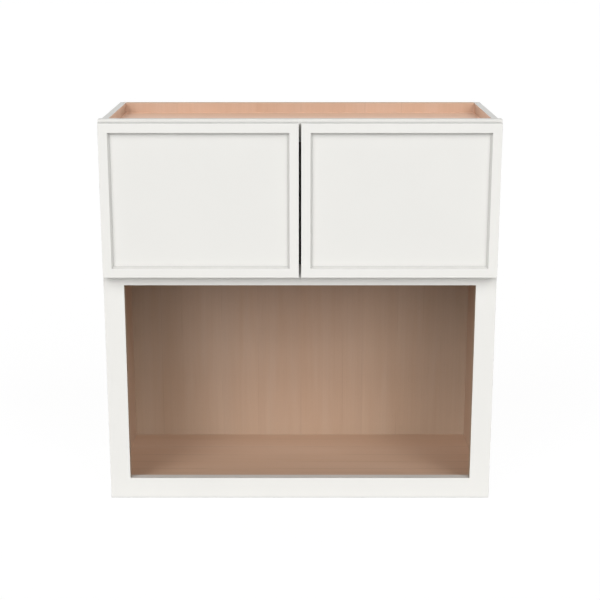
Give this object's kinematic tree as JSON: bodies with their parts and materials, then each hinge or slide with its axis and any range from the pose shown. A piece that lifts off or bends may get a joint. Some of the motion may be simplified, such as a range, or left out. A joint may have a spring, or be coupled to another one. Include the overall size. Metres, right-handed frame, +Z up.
{
  "type": "microwave cabinet",
  "caption": "Face-framed wall cabinet with an open bay for a microwave oven under a compartment with slim-framed hinged doors.",
  "frame": {"origin": "middle of the footprint on the underside, with the doors shut", "axes": "+X to the right seen from the front, +Y from the doors to the wall, +Z up"},
  "size_m": [0.762, 0.3268, 0.762],
  "materials": {
    "white_paint": "satin paint",
    "maple_veneer": "clear lacquered veneer",
    "hinge_steel": "nickel plated",
    "screw_steel": "zinc plated",
    "bumper_plastic": "soft translucent"
  },
  "bodies": {
    "carcass": {"left_stile": "white_paint", "right_stile": "white_paint", "top_rail": "white_paint", "mid_rail": "white_paint", "bottom_rail": "white_paint", "left_side_panel": "white_paint", "right_side_panel": "white_paint", "top_panel": "maple_veneer", "deck_panel": "maple_veneer", "bottom_panel": "maple_veneer", "back_panel": "maple_veneer", "upper_hanging_rail": "maple_veneer", "lower_hanging_rail": "maple_veneer", "left_upper_hinge_arm": "hinge_steel", "left_lower_hinge_arm": "hinge_steel", "right_upper_hinge_arm": "hinge_steel", "right_lower_hinge_arm": "hinge_steel", "left_arm_screws": "screw_steel", "right_arm_screws": "screw_steel"},
    "left_door": {"left_door_hinge_stile": "white_paint", "left_door_free_stile": "white_paint", "left_door_top_rail": "white_paint", "left_door_bottom_rail": "white_paint", "left_door_panel": "white_paint", "left_upper_hinge_cup": "hinge_steel", "left_lower_hinge_cup": "hinge_steel", "left_hinge_pins": "hinge_steel", "left_cup_screws": "screw_steel", "left_door_bumpers": "bumper_plastic"},
    "right_door": {"right_door_hinge_stile": "white_paint", "right_door_free_stile": "white_paint", "right_door_top_rail": "white_paint", "right_door_bottom_rail": "white_paint", "right_door_panel": "white_paint", "right_upper_hinge_cup": "hinge_steel", "right_lower_hinge_cup": "hinge_steel", "right_hinge_pins": "hinge_steel", "right_cup_screws": "screw_steel", "right_door_bumpers": "bumper_plastic"}
  },
  "joints": [
    {"name": "left_door_hinge", "type": "hinge", "parent": "carcass", "child": "left_door", "pos_m": [-0.3715, -0.1528, 0.6092], "axis": [0, 0, -1], "range_deg": [0, 105]},
    {"name": "right_door_hinge", "type": "hinge", "parent": "carcass", "child": "right_door", "pos_m": [0.3715, -0.1528, 0.6092], "axis": [0, 0, 1], "range_deg": [0, 105]}
  ]
}
